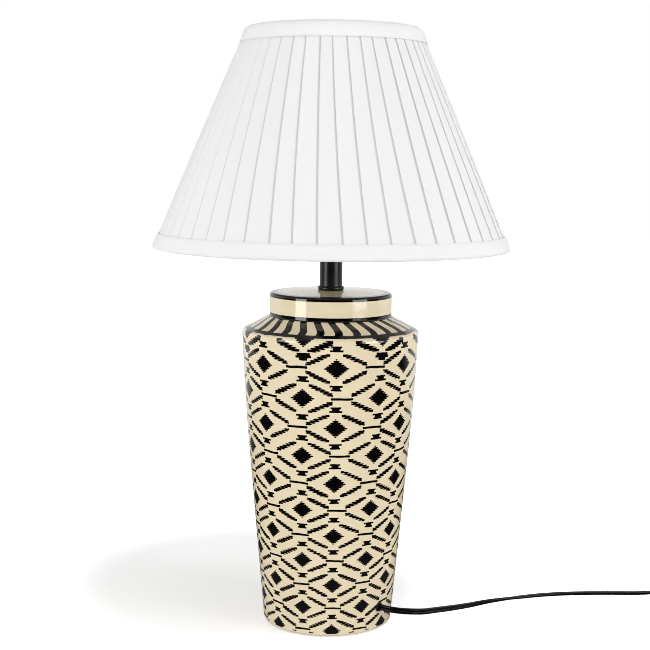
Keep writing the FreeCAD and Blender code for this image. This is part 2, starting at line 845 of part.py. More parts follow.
def rocker(pivot_half):
    """Rocker with two wings that rise from its middle, tilted to its off position."""
    pivot = V(0, 0, rocker_pivot_height)
    half = window_length / 2 - rocker_gap
    wide = window_width / 2 - rocker_width_gap
    wing_end = half * math.cos(math.radians(rocker_tilt))
    wing_rise = half * math.tan(math.radians(rocker_tilt))
    profile = [
        (-wing_end, -rocker_depth / 2),
        (-wing_end / 2, -rocker_depth),
        (wing_end / 2, -rocker_depth),
        (wing_end, -rocker_depth / 2),
        (wing_end, rocker_crown + wing_rise),
        (0, rocker_crown),
        (-wing_end, rocker_crown + wing_rise),
    ]
    corners = [V(x, -wide, z) for x, z in profile]
    body = Part.Face(Part.makePolygon(corners + [corners[0]])).extrude(V(0, 2 * wide, 0))
    swing = Part.makeCylinder(half, 2 * wide, V(0, -wide, 0), V(0, 1, 0))
    body = body.common(swing)
    pin = Part.makeCylinder(rocker_pivot_radius, 2 * pivot_half, V(0, -pivot_half, 0), V(0, 1, 0))
    body = body.fuse(pin)
    body.rotate(ORIGIN, V(0, 1, 0), rocker_tilt)
    body.translate(pivot)
    return body


def coil_knot(turn, inner_radius, layer_height, pitch):
    """Point and direction of the coil's centre line after a number of turns, wound clockwise."""
    middle = coil_turns_per_layer + coil_rise_turn
    radius = inner_radius + pitch * (abs(turn - middle) - coil_rise_turn)
    angle = 2 * math.pi * turn
    height = 0 if turn < middle else layer_height
    out = V(math.sin(angle), math.cos(angle), 0)
    along = V(math.cos(angle), -math.sin(angle), 0)
    rate = math.copysign(pitch, turn - middle)
    direction = (along * (2 * math.pi * radius) + out * rate).normalize()
    return out * radius + V(0, 0, height), direction


def biarc(start, start_way, end, end_way):
    """Two arcs that leave start and reach end in the given directions."""
    across = end - start
    lean = start_way.dot(end_way)
    spread = start_way + end_way
    if lean < -1 + 1e-9:
        reach = across.dot(across) / (4 * across.dot(end_way))
    else:
        b = across.dot(spread)
        root = math.sqrt(b * b + 2 * (1 - lean) * across.dot(across))
        reach = (root - b) / (2 * (1 - lean))
    joint = (start + start_way * reach + end - end_way * reach) * 0.5
    arcs = []
    for a, way, b in ((start, start_way, joint), (joint, None, end)):
        corner = a + way * reach if way else end - end_way * reach
        chord = b - a
        half = chord.getAngle(corner - a)
        weight = math.cos(half)
        middle = ((a + b) * 0.5 + corner * weight) * (1 / (1 + weight))
        arcs.append(Part.Arc(a, middle, b).toShape())
    return arcs


def cord_coil():
    """Loops wound in over one layer, up in half a turn, and out again over the next."""
    pitch = 2 * cord_radius + coil_gap
    start = V(*route_switch[-1])
    inner_radius = coil_mean_radius - pitch * coil_turns_per_layer / 2
    total = 2 * (coil_turns_per_layer + coil_rise_turn)
    knots = [
        coil_knot(i / 2, inner_radius, pitch, pitch) for i in range(int(2 * total) + 1)]
    straight = 2 * cord_radius
    first, first_way = knots[0]
    last, last_way = knots[-1]
    edges = [Part.LineSegment(first - first_way * straight, first).toShape()]
    for (a, a_way), (b, b_way) in zip(knots, knots[1:]):
        edges += biarc(a, a_way, b, b_way)
    edges.append(Part.LineSegment(last, last + last_way * straight).toShape())
    path = Part.Wire(edges)
    lean = math.degrees(math.atan2(first_way.y, first_way.x))
    path.rotate(ORIGIN, UP, -lean)
    begin = path.Edges[0].valueAt(path.Edges[0].FirstParameter)
    path.translate(start - begin)
    samples = path.discretize(Number=700)
    step = path.Length / (len(samples) - 1)
    skip = int(math.pi * inner_radius / step)
    least = min(
        (samples[i] - samples[j]).Length
        for i in range(len(samples)) for j in range(i + skip, len(samples)))
    print("cord_coil least gap", round(least - 2 * cord_radius, 3))
    print("cord_coil length", round(path.Length, 1), "end", samples[-1], "way",
          (samples[-1] - samples[-2]).normalize())
    solid = tube(path, cord_radius)
    expected = math.pi * cord_radius ** 2 * path.Length
    print("cord_coil volume share", round(solid.Volume / expected, 4))
    return solid


def plug():
    """Flat two-pin plug with its strain relief, pins towards -X."""
    rear = V(*route_plug[-1])
    axis_height = plug_thickness / 2
    face = relief_length + plug_length
    outline = []
    for side in (1, -1):
        half = [
            (relief_length, plug_rear_width / 2),
            (face - plug_taper_start, plug_width / 2),
            (face - plug_face_depth, plug_width / 2),
            (face, plug_face_width / 2),
        ]
        half = [(x, side * y) for x, y in half]
        outline += half if side > 0 else half[::-1]
    body = slab(outline, 0, plug_thickness)
    body = body.makeFillet(plug_edge_round, body.Edges)
    relief = Part.makeCone(
        relief_radius_rear, relief_radius_front, relief_length + plug_edge_round,
        V(0, 0, axis_height), V(1, 0, 0))
    body = body.fuse(relief)
    pins = []
    sleeves = []
    for side in (-1, 1):
        root = V(face, side * pin_spacing / 2, axis_height)
        socket = Part.makeCylinder(
            pin_core_radius, pin_root_depth, root - V(pin_root_depth, 0, 0), V(1, 0, 0))
        body = body.cut(socket)
        core = Part.makeCylinder(
            pin_core_radius, pin_root_depth + sleeve_length,
            root - V(pin_root_depth, 0, 0), V(1, 0, 0))
        bare = Part.makeCylinder(
            pin_radius, pin_length - sleeve_length, root + V(sleeve_length, 0, 0), V(1, 0, 0))
        tip = [e for e in bare.Edges if e.BoundBox.XMin > face + pin_length - pin_tip_round]
        bare = bare.makeFillet(pin_tip_round, tip)
        pins.append(core.fuse(bare).removeSplitter())
        sleeve = Part.makeCylinder(pin_radius, sleeve_length, root, V(1, 0, 0))
        hollow = Part.makeCylinder(
            pin_core_radius + sleeve_clearance, sleeve_length, root, V(1, 0, 0))
        sleeves.append(sleeve.cut(hollow))
    pieces["plug_body"] = body
    pieces["plug_pins"] = Part.makeCompound(pins)
    pieces["plug_pin_sleeves"] = Part.makeCompound(sleeves)
    for name in ("plug_body", "plug_pins", "plug_pin_sleeves"):
        pieces[name].rotate(ORIGIN, UP, 180)
        pieces[name].translate(V(rear.x, rear.y, 0))


pieces["ceramic_body"] = ceramic_body()
pieces["cord_gland"] = cord_gland()
pieces["inner_lead"] = inner_lead()
base_and_rod()
stem()
lampholder()
bulb()
pieces["shade_ring"] = shade_ring()
shade()
pieces["cord_run_lamp"] = cord_tube(route_lamp, "cord_run_lamp")
pieces["cord_run_switch"] = cord_tube(route_switch, "cord_run_switch")
pieces["cord_coil"] = cord_coil()
pieces["cord_run_plug"] = cord_tube(route_plug, "cord_run_plug")
switch()
plug()

os.makedirs("parts", exist_ok=True)
for name, shape in pieces.items():
    shape.exportStep(os.path.join("parts", name + ".step"))
    print(name, "valid" if shape.isValid() else "NOT VALID", len(shape.Solids), "solid",
          round(shape.Volume, 1))
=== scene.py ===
"""The looks of the ceramic table lamp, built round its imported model. Lengths are in metres."""
import math
import random

import bpy
from mathutils import Matrix, Vector


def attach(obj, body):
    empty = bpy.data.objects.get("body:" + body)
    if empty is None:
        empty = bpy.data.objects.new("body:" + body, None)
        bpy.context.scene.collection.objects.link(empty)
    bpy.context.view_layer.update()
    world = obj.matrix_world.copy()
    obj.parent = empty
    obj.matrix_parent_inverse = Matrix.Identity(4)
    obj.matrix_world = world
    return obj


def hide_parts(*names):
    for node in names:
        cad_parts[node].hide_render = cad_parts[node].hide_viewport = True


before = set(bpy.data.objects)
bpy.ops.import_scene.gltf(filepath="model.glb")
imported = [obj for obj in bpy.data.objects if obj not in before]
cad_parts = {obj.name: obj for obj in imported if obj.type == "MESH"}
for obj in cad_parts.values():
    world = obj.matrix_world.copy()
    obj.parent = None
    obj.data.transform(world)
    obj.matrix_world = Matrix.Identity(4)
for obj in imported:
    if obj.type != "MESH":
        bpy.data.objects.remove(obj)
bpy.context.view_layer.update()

scene = bpy.context.scene
mm = 0.001
full_turn = 2 * math.pi
chance = random.Random(7)

# The shade's cone
apex_height = 697.27 * mm
cone_slope = 0.42613  # radius lost for each metre of height
slope_length = math.hypot(1, cone_slope)  # way along the cloth for each metre of height
pleat_count = 48
first_pleat = math.radians(4.2)


def cone_radius(height):
    return (apex_height - height) * cone_slope


def around(azimuth, radius, height):
    """A point round the lamp's axis. Azimuth 0 is the front, and it grows to the right."""
    return Vector((math.sin(azimuth) * radius, -math.cos(azimuth) * radius, height))


# Camera

def photo_camera():
    data = bpy.data.cameras.new("photo_camera")
    data.sensor_width = 36
    data.lens = 75.38
    data.shift_x = -0.0084
    data.clip_start = 0.01
    camera = bpy.data.objects.new("photo_camera", data)
    scene.collection.objects.link(camera)
    looks_down = 0.125
    roll = 0.0117
    turn = Matrix.Rotation(math.pi / 2 - looks_down, 4, "X") @ Matrix.Rotation(roll, 4, "Z")
    camera.matrix_world = Matrix.Translation((0, -1.1922, 0.4155)) @ turn
    scene.camera = camera


# Materials

class Value:
    """A number that a material works out at each point of a surface, so that sums read as sums.

    both and either join marks that are 1 where they are painted and 0 elsewhere.
    """

    def __init__(self, tree, socket):
        self.tree = tree
        self.socket = socket

    def then(self, operation, *others, clamp=False):
        node = self.tree.nodes.new("ShaderNodeMath")
        node.operation = operation
        node.use_clamp = clamp
        for i, item in enumerate((self, *others)):
            if isinstance(item, Value):
                self.tree.links.new(item.socket, node.inputs[i])
            else:
                node.inputs[i].default_value = item
        return Value(self.tree, node.outputs[0])

    def __add__(self, other):
        return self.then("ADD", other)

    def __sub__(self, other):
        return self.then("SUBTRACT", other)

    def __mul__(self, other):
        return self.then("MULTIPLY", other)

    def __truediv__(self, other):
        return self.then("DIVIDE", other)

    def __abs__(self):
        return self.then("ABSOLUTE")

    def below(self, other):
        return self.then("LESS_THAN", other)

    def above(self, other):
        return self.then("GREATER_THAN", other)

    def either(self, other):
        return self.then("MAXIMUM", other)

    def both(self, other):
        return self.then("MULTIPLY", other)

    def rounded_to(self, step):
        return (self / step).then("ROUND") * step


class Finish:
    """One procedural material, with the sockets that its makers reach for."""

    def __init__(self, name, colour, roughness, specular=0.5, metallic=0.0):
        self.material = bpy.data.materials.new(name)
        self.material.use_nodes = True
        self.tree = self.material.node_tree
        self.shader = self.tree.nodes["Principled BSDF"]
        self.set("Base Color", (*colour, 1))
        self.set("Roughness", roughness)
        self.set("Specular IOR Level", specular)
        self.set("Metallic", metallic)
        self.material.diffuse_color = (*colour, 1)
        self.place = self.node("ShaderNodeTexCoord")

    def node(self, kind, **settings):
        made = self.tree.nodes.new(kind)
        for name, value in settings.items():
            setattr(made, name, value)
        return made

    def set(self, name, value):
        self.shader.inputs[name].default_value = value

    def link(self, source, target):
        self.tree.links.new(source, target)

    def axes(self, source="Object"):
        split = self.node("ShaderNodeSeparateXYZ")
        self.link(self.place.outputs[source], split.inputs[0])
        return [Value(self.tree, out) for out in split.outputs]

    def stretched(self, scale, source="Object"):
        mapping = self.node("ShaderNodeMapping")
        mapping.inputs["Scale"].default_value = scale
        self.link(self.place.outputs[source], mapping.inputs["Vector"])
        return mapping.outputs[0]

    def noise(self, size, detail=2.0, vector=None):
        """Soft noise from 0 to 1 whose lumps are about size metres across."""
        made = self.node("ShaderNodeTexNoise")
        made.inputs["Scale"].default_value = 1 / size
        made.inputs["Detail"].default_value = detail
        self.link(vector or self.place.outputs["Object"], made.inputs["Vector"])
        return Value(self.tree, made.outputs[0])

    def blend(self, share, first, second):
        mix = self.node("ShaderNodeMix", data_type="RGBA")
        colours = [slot for slot in mix.inputs if slot.type == "RGBA"]
        self.link(share.socket, mix.inputs[0])
        for slot, colour in zip(colours, (first, second)):
            if isinstance(colour, tuple):
                slot.default_value = (*colour, 1)
            else:
                self.link(colour, slot)
        return [out for out in mix.outputs if out.type == "RGBA"][0]

    def colour_from(self, share, first, second):
        self.link(self.blend(share, first, second), self.shader.inputs["Base Color"])

    def roughness_from(self, share, low, high):
        self.link((share * (high - low) + low).socket, self.shader.inputs["Roughness"])

    def bump(self, height, depth):
        made = self.node("ShaderNodeBump")
        made.inputs["Distance"].default_value = depth
        self.link(height.socket, made.inputs["Height"])
        self.link(made.outputs[0], self.shader.inputs["Normal"])


def moulded(name, colour, roughness, grain=0.6 * mm, depth=0.02 * mm, specular=0.5):
    """Moulded plastic or rubber: a fine even grain and slightly uneven gloss."""
    finish = Finish(name, colour, roughness, specular)
    finish.bump(finish.noise(grain, 3.0), depth)
    finish.roughness_from(finish.noise(12 * mm), roughness - 0.06, roughness + 0.08)
    return finish.material


def metal(name, colour, roughness):
    """Metal with fine drawn lines and dulled patches."""
    finish = Finish(name, colour, roughness, metallic=1.0)
    lines = finish.noise(1.2 * mm, 2.0, finish.stretched((1, 1, 14)))
    finish.bump(lines, 0.01 * mm)
    dull = tuple(part * 0.72 for part in colour)
    finish.colour_from(finish.noise(6 * mm), colour, dull)
    finish.roughness_from(lines, roughness - 0.06, roughness + 0.1)
    return finish.material


# The painted pattern: seven columns of stepped diamonds, each in a ring of four toothed bars.
# Widths in it are shares of a column, and heights are shares of a row.
columns = 7
top_row_height = 264.76 * mm
row_fall = 26.6 * mm
row_gain = 0.2808 * mm
step_height = 0.06
diamond_reach = (0.163, 0.345)
diamond_size = 0.98
diamond_tooth = 4.0
waist_height = 0.638
waist_layer = 0.0635
bar_line = (0.4644, -0.809)
bar_thickness = 0.076
bar_tooth = 0.9
bar_middle = (0.231, 0.278)
bar_reach = (0.154, 0.202)
dash_start = 0.36
dash_thickness = 0.042

# Bands and edges on the body
foot_band = 3.4 * mm
shoulder_low = 263.4 * mm
shoulder_high = 265.4 * mm
neck_foot = 274.4 * mm
neck_line = 278.0 * mm
rim_line = 291.6 * mm
rim_inner = 47.0 * mm

# Stripes on the shoulder. Half their width is a share of their pitch, and grows to the neck.
stripe_count = 28
first_stripe = math.radians(5.6)
stripe_swing = math.radians(-4.6)
stripe_bulge = math.radians(1.4)
stripe_half = 0.215
stripe_widening = 0.03

# How far the brush strays, slowly and quickly: round the body in radians, and up it
slow_stray = (0.012, 1.2 * mm)
quick_stray = (0.006, 0.7 * mm)

paint = (0.0015, 0.0015, 0.0015)
plain_glaze = (0.84, 0.70, 0.46)
cream_light = (0.84, 0.735, 0.52)
cream_deep = (0.80, 0.69, 0.48)
cream_fleck = (0.85, 0.71, 0.56)


def motif(across, up, thickness, wiggle, cut):
    """One motif and its links. across counts columns and up rows, both from the motif's centre.

    cut is 1 in the row that the shoulder cuts in half, whose marks are heavier, and 0 elsewhere.
    """
    def measure(usual, more_when_cut):
        return cut * more_when_cut + usual

    side = abs(across)
    far = abs(up)
    stroke = far.rounded_to(step_height)
    notch = abs(far - stroke)

    width, height = diamond_reach
    diamond = (side / width + stroke / height + notch * diamond_tooth).below(diamond_size)

    # Three layers between one diamond and the next: the middle one is the narrowest, and in the
    # cut row the widest.
    waist = (far - waist_height) / measure(waist_layer, 0.02)
    layer = waist.then("ROUND")
    flare = abs(layer) * measure(0.0258, -0.0558) - layer * measure(0.0078, 0.0082)
    hourglass = (side - flare).below(measure(0.049, 0.049)).both(abs(waist).below(1.5))

    start, slope = bar_line
    line = stroke * slope + start
    bar = abs(side - line).below(thickness + cut * 0.022 - notch * bar_tooth)
    bar = bar.both(abs(side + measure(-bar_middle[0], 0.026)).below(measure(bar_reach[0], 0.006)))
    bar = bar.both(abs(far - measure(bar_middle[1], 0.012)).below(measure(bar_reach[1], -0.012)))

    dash = side.above(dash_start).both(abs(up - wiggle).below(dash_thickness))
    return diamond.either(hourglass).either(bar).either(dash)


def painted_rows(level, azimuth, drift, wander):
    """All rows of motifs: the odd and the even ones, which stand half a column apart."""
    # Rows lie closer together towards the foot.
    inside = (level - top_row_height) * (4 * row_gain) + row_fall ** 2
    row = (inside.either(0.0).then("SQRT") * -1.0 + row_fall) / (2 * row_gain)
    column = azimuth * (columns / full_turn)
    thickness = (drift + wander) * 0.04 + bar_thickness
    wiggle = drift * 0.12
    marks = []
    # The first row, its turn in degrees, and how far its columns lean, in degrees a metre
    for first_row, turn, leaning in ((1, 4.1, 0.0), (0, 4.2 + 180 / columns, 18.0)):
        phase = level * (leaning * columns / 360) + turn * columns / 360
        across = (column - phase) - (column - phase).then("ROUND")
        up = row - ((row - first_row) / 2).then("ROUND") * 2 - first_row
        cut = row.below(1.0) if first_row == 0 else 0.0
        marks.append(motif(across, up, thickness, wiggle, cut))
    return marks[0].either(marks[1])


def painted_stripes(azimuth, height):
    """Stripes on the shoulder, each a long S."""
    rise = (height - shoulder_high) / (neck_foot - shoulder_high)
    share = rise.then("MULTIPLY", 1.0, clamp=True)
    swing = share * share * (share * -2.0 + 3.0)
    bulge = share * (share * -4.0 + 4.0)
    centre = swing * stripe_swing + bulge * stripe_bulge + first_stripe
    stripe = (azimuth - centre) * (stripe_count / full_turn)
    stripes = abs(stripe - stripe.then("ROUND")).below(share * stripe_widening + stripe_half)
    return stripes.both(height.above(shoulder_low)).both(height.below(neck_line))


def glazed_body():
    finish = Finish("painted_glaze", plain_glaze, 0.08)
    x, y, z = finish.axes()
    radius = (x * x + y * y).then("SQRT")

    drift = finish.noise(30 * mm, 1.0) - 0.5
    wander = finish.noise(5 * mm, 1.0) - 0.5
    azimuth = x.then("ARCTAN2", y * -1.0) + drift * slow_stray[0] + wander * quick_stray[0]
    level = z + drift * slow_stray[1] + wander * quick_stray[1]

    rows = painted_rows(level, azimuth, drift, wander)
    rows = rows.both(z.above(foot_band)).both(z.below(shoulder_low))
    edge = z.above(shoulder_low).both(z.below(shoulder_high))
    foot = z.above(neck_foot).both(z.below(neck_line))
    rim = z.above(rim_line).both(radius.above(rim_inner))
    black = rows.either(painted_stripes(azimuth, z)).either(edge).either(foot).either(rim)

    cloud = finish.noise(45 * mm, 3.0)
    fleck = finish.noise(7 * mm, 2.0)
    cream = finish.blend(cloud, cream_light, cream_deep)
    cream = finish.blend((fleck - 0.62).either(0.0) * 2.0, cream, cream_fleck)
    finish.colour_from(black, cream, paint)
    ripple = finish.noise(9 * mm, 2.0) + finish.noise(34 * mm, 1.0) * 2.0
    finish.bump(ripple + black * 0.25, 0.05 * mm)
    return finish.material


thread = 0.42 * mm
# Painted fold shade: the grey given to cloth beside and under each pleat's fold, in place of its
# shadow.
painted_fold_shade = (0.65, 0.65, 0.65)


def woven(name, colour, shade):
    """Plain woven cloth. UV runs in metres along and across the cloth.

    The attribute fold_shadow is 1 beside and under each pleat's fold, where the cloth is painted
    grey as fold shade in place of the shadow there.
    """
    finish = Finish(name, colour, 0.85, 0.15)
    finish.set("Sheen Weight", 0.15)
    finish.set("Sheen Roughness", 0.5)
    along, across, _ = finish.axes("UV")
    warp = (along * (full_turn / thread)).then("SINE")
    weft = (across * (full_turn / thread)).then("SINE")
    weave = warp * weft
    slub = finish.noise(1.6 * mm, 2.0, finish.stretched((1, 9, 1), "UV"))
    uneven = finish.blend(slub * 0.5 + finish.noise(60 * mm, 2.0) * 0.5, colour, shade)
    # Painted fold shade where the fold_shadow attribute is 1.
    fold = finish.node("ShaderNodeAttribute", attribute_name="fold_shadow")
    finish.colour_from(Value(finish.tree, fold.outputs["Fac"]), uneven, painted_fold_shade)
    finish.bump(weave * 0.6 + slub, 0.05 * mm)
    return finish.material


def glass():
    finish = Finish("opal_glass", (0.93, 0.93, 0.92), 0.22, 0.5)
    finish.set("Coat Weight", 0.3)
    finish.colour_from(finish.noise(20 * mm), (0.94, 0.94, 0.93), (0.91, 0.91, 0.9))
    finish.bump(finish.noise(3 * mm), 0.01 * mm)
    return finish.material


def felt():
    finish = Finish("black_felt", (0.02, 0.02, 0.02), 0.95, 0.1)
    fibres = finish.noise(0.7 * mm, 5.0)
    finish.colour_from(fibres, (0.008, 0.008, 0.009), (0.05, 0.05, 0.052))
    finish.bump(fibres, 0.3 * mm)
    return finish.material


def film():
    finish = Finish("shade_film", (0.9, 0.9, 0.88), 0.5, 0.3)
    grain = finish.noise(1.5 * mm, 3.0)
    finish.colour_from(grain, (0.91, 0.91, 0.89), (0.86, 0.86, 0.84))
    finish.bump(grain, 0.03 * mm)
    return finish.material


def dress_nodes():
    """Every CAD node that stays gets its finish. The cord's own finish is returned."""
    brass = metal("brass", (0.78, 0.56, 0.24), 0.28)
    zinc = metal("zinc_steel", (0.62, 0.62, 0.64), 0.35)
    shell = metal("nickel_shell", (0.72, 0.71, 0.69), 0.25)
    black_steel = moulded("satin_black_steel", (0.006, 0.006, 0.0065), 0.3,
                          grain=1.5 * mm, depth=0.01 * mm, specular=0.35)
    holder = moulded("holder_black", (0.014, 0.014, 0.015), 0.42)
    porcelain = moulded("holder_porcelain", (0.85, 0.84, 0.8), 0.25, grain=2 * mm, depth=0.01 * mm)
    wire_white = moulded("white_coated_wire", (0.86, 0.86, 0.85), 0.4, grain=1 * mm)
    sheath = moulded("black_sheath", (0.002, 0.002, 0.0022), 0.26,
                     grain=0.9 * mm, depth=0.008 * mm, specular=0.18)
    case = moulded("black_case", (0.008, 0.008, 0.009), 0.4,
                   grain=0.5 * mm, depth=0.03 * mm, specular=0.4)
    insulator = moulded("dark_insulator", (0.03, 0.028, 0.03), 0.3)
    rocker = moulded("rocker_black", (0.012, 0.012, 0.012), 0.32, grain=1 * mm, depth=0.01 * mm)
    finishes = {
        "ceramic_body": glazed_body(),
        "base_felt": felt(),
        "cord_gland": case,
        "inner_lead": sheath,
        "threaded_rod": zinc,
        "lower_washer": zinc,
        "lower_nut": zinc,
        "stem_collar": black_steel,
        "stem_tube": black_steel,
        "holder_cap": holder,
        "holder_shell": holder,
        "holder_insert": porcelain,
        "terminal_screws": brass,
        "screw_shell": brass,
        "centre_contact": brass,
        "bulb_glass": glass(),
        "bulb_cap": shell,
        "bulb_insulator": insulator,
        "bulb_contact": zinc,
        "shade_ring": holder,
        "shade_frame": wire_white,
        "shade_top_wire": wire_white,
        "shade_liner": film(),
        "switch_base": case,
        "switch_cover": case,
        "switch_rocker": rocker,
        "switch_screws": zinc,
        "plug_body": case,
        "plug_pins": brass,
        "plug_pin_sleeves": insulator,
    }
    for name, material in finishes.items():
        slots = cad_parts[name].data.materials
        slots.clear()
        slots.append(material)
    return sheath


# Pieces

def piece_from(name, points, faces, material, body, uv=None):
    """A piece from its points and faces. uv gives each face's corners in metres of cloth."""
    mesh = bpy.data.meshes.new(name)
    mesh.from_pydata([tuple(point) for point in points], [], faces)
    if uv:
        layer = mesh.uv_layers.new(name="cloth")
        for loop, place in zip(layer.data, (place for corners in uv for place in corners)):
            loop.uv = place
    mesh.materials.append(material)
    piece = bpy.data.objects.new(name, mesh)
    scene.collection.objects.link(piece)
    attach(piece, body)
    return piece


def faces_between(rings, count):
    """Four-sided faces that join each ring of count points to the next."""
    faces = []
    for ring in range(rings - 1):
        here, there = ring * count, (ring + 1) * count
        for i in range(count):
            k = (i + 1) % count
            faces.append((here + i, here + k, there + k, there + i))
    return faces


def select_only(piece):
    bpy.ops.object.select_all(action="DESELECT")
    piece.select_set(True)
    bpy.context.view_layer.objects.active = piece


def finish_modifiers(piece):
    select_only(piece)
    for modifier in list(piece.modifiers):
        bpy.ops.object.modifier_apply(modifier=modifier.name)


def outward(piece):
    select_only(piece)
    bpy.ops.object.mode_set(mode="EDIT")
    bpy.ops.mesh.select_all(action="SELECT")
    bpy.ops.mesh.normals_make_consistent(inside=False)
    bpy.ops.object.mode_set(mode="OBJECT")


# Cord

strand_radius = 1.45 * mm
strand_offset = 1.25 * mm
strand_sides = 12

# The route's points are in millimetres.
cord_exit = (45.96, -38.57, 22.0)
to_switch = [
    (52.1, -43.7, 22.0), (60.4, -46.9, 21.7), (69.3, -47.4, 21.2), (77.8, -44.9, 20.2),
    (85.1, -39.8, 18.6), (96.2, -24.1, 14.8), (108.5, -8.4, 10.9), (119.9, 6.2, 7.6),
    (128.0, 16.6, 5.3), (137.0, 26.9, 3.5), (147.2, 35.8, 2.6), (160.7, 43.9, 2.1),
    (182.3, 53.5, 1.7), (202.3, 60.6, 1.7), (226.0, 65.7, 1.7), (252.0, 68.2, 1.7),
    (278.0, 69.0, 1.7), (300.0, 68.5, 2.0), (317.0, 67.3, 4.0), (333.0, 67.0, 7.0),
    (345.0, 67.0, 7.0),
]
to_coil = [(421.0, 67.0, 7.0), (432.0, 67.0, 7.0), (445.0, 66.4, 4.2), (456.0, 66.0, 3.0)]
coil_start = (466.0, 66.0)
to_plug = [
    (456.961, -13.089, 9.1), (444.5, -13.9, 5.6), (431.0, -14.0, 3.8), (418.5, -13.3, 4.6),
    (408.0, -13.0, 6.85), (399.0, -13.0, 6.85),
]

# The coil, in millimetres and turns
coil_turns = 6.5
climb = 0.5
points_a_turn = 24
coil_straight = 5.4
inner_turn_radius = 21.75
turn_growth = 5.8
layer_heights = (3.0, 9.1)
coil_lean = math.radians(1.4)


def coil_points():
    """The put-away length: clockwise turns that go in on the lower layer and out on the upper.

    The cord climbs from one layer to the other halfway.
    """
    middle = coil_turns / 2
    lower, upper = layer_heights
    points = [(*coil_start, lower)]

    def reach(turn):
        return inner_turn_radius + turn_growth * max(abs(turn - middle) - climb / 2, 0)

    lean = Matrix.Rotation(-coil_lean, 3, "Z")
    centre = Vector((coil_straight, -reach(0), 0))
    steps = round(coil_turns * points_a_turn)
    for i in range(steps + 1):
        turn = i / points_a_turn
        rise = min(max((turn - (middle - climb / 2)) / climb, 0), 1)
        height = lower + (upper - lower) * rise
        angle = full_turn * turn
        flat = centre + Vector((math.sin(angle), math.cos(angle), 0)) * reach(turn)
        flat = lean @ flat
        points.append((coil_start[0] + flat.x, coil_start[1] + flat.y, height))
    return points


def spline_points(name, route):
    """The points of the smooth line that a route in millimetres controls."""
    data = bpy.data.curves.new(name, "CURVE")
    data.dimensions = "3D"
    data.resolution_u = 8
    spline = data.splines.new("NURBS")
    spline.points.add(len(route) - 1)
    for point, place in zip(spline.points, route):
        point.co = (*(part * mm for part in place), 1)
    spline.order_u = 3
    spline.use_endpoint_u = True
    line = bpy.data.objects.new(name, data)
    scene.collection.objects.link(line)
    bpy.context.view_layer.update()
    depsgraph = bpy.context.evaluated_depsgraph_get()
    mesh = bpy.data.meshes.new_from_object(line.evaluated_get(depsgraph))
    points = [vertex.co.copy() for vertex in mesh.vertices]
    bpy.data.objects.remove(line)
    bpy.data.meshes.remove(mesh)
    return points


def twin_section():
    """Outline of the flat cord: two round strands that meet in a groove."""
    meet = math.acos(strand_offset / strand_radius)
    outline = []
    for side in (1, -1):
        for i in range(strand_sides + 1):
            angle = -math.pi + meet + (full_turn - 2 * meet) * i / strand_sides
            outline.append((
                side * (strand_offset + math.cos(angle) * strand_radius),
                side * math.sin(angle) * strand_radius,
            ))
    return outline


# The cord's turn about its own line at each length along it: 0 and 180 lie flat, 90 stands on edge
standing = [
    (0, 78), (0.03, 74), (0.06, 82), (0.09, 96), (0.13, 112), (0.155, 142), (0.185, 174),
    (0.22, 180), (0.42, 180), (0.455, 90), (1.655, 90), (1.71, 0), (2.0, 0),
]


def tilt_at(length):
    for (start, low), (end, high) in zip(standing, standing[1:]):
        if length <= end:
            return math.radians(low + (high - low) * (length - start) / (end - start))
    return math.radians(standing[-1][1])


def lamp_cord(material):
    route = [cord_exit, *to_switch, *to_coil, *coil_points(), *to_plug]
    line = spline_points("lamp_cord_line", route)
    section = twin_section()
    count = len(section)
    points = []
    length = 0.0
    for i, place in enumerate(line):
        before, after = line[max(i - 1, 0)], line[min(i + 1, len(line) - 1)]
        if i:
            length += (place - line[i - 1]).length
        ahead = (after - before).normalized()
        level = Vector((0, 0, 1)).cross(ahead).normalized()
        up = ahead.cross(level)
        tilt = tilt_at(length)
        wide = level * math.cos(tilt) + up * math.sin(tilt)
        thick = ahead.cross(wide)
        points += [place + wide * a + thick * b for a, b in section]
    faces = faces_between(len(line), count)
    faces.append(tuple(range(count))[::-1])
    faces.append(tuple(range(len(points) - count, len(points))))
    piece = piece_from("lamp_cord", points, faces, material, "lamp")
    outward(piece)
    bpy.ops.object.shade_smooth_by_angle(angle=math.radians(50))
    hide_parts("cord_run_lamp", "cord_run_switch", "cord_coil", "cord_run_plug")


# Shade

cover_bottom = 335.9 * mm
cover_top = 521.6 * mm
cover_belly = 0.5 * mm
cloth_thickness = 0.36 * mm
cover_levels = 22

# Each pleat is tucked under the next by this share of its pitch, and lies in three layers.
tuck = 0.4
layer_depths = (-0.05 * mm, 0.4 * mm, 0.85 * mm)
face_shares = (0.1, 0.2, 0.3, 0.4, 0.5, 0.6, 0.7, 0.8, 0.87, 0.905, 0.94, 1)
held_flat = 0.12
fold_steps = 4

# Both ends of the cloth are held flat over this share of its height.
pressed_share = 0.12

# How far single pleats stray, in degrees: at the bottom, at the top and between them
stray_low, stray_high, stray_bow = 0.5, 0.75, 0.25

# All lean together by so many degrees from bottom to top, by more or less round the shade.
pleat_lean = -4.2
lean_change = 1.6
lean_phase = math.radians(3)

# Each pleat swells between its folds, more at the top.
swell_depth = 0.35 * mm
swell_change = 0.2 * mm
swell_growth = 0.3

# Cloth further along a pleat than this share, beside and under the next pleat's raised fold, is
# painted grey as fold shade.
fold_shade_from = 0.9


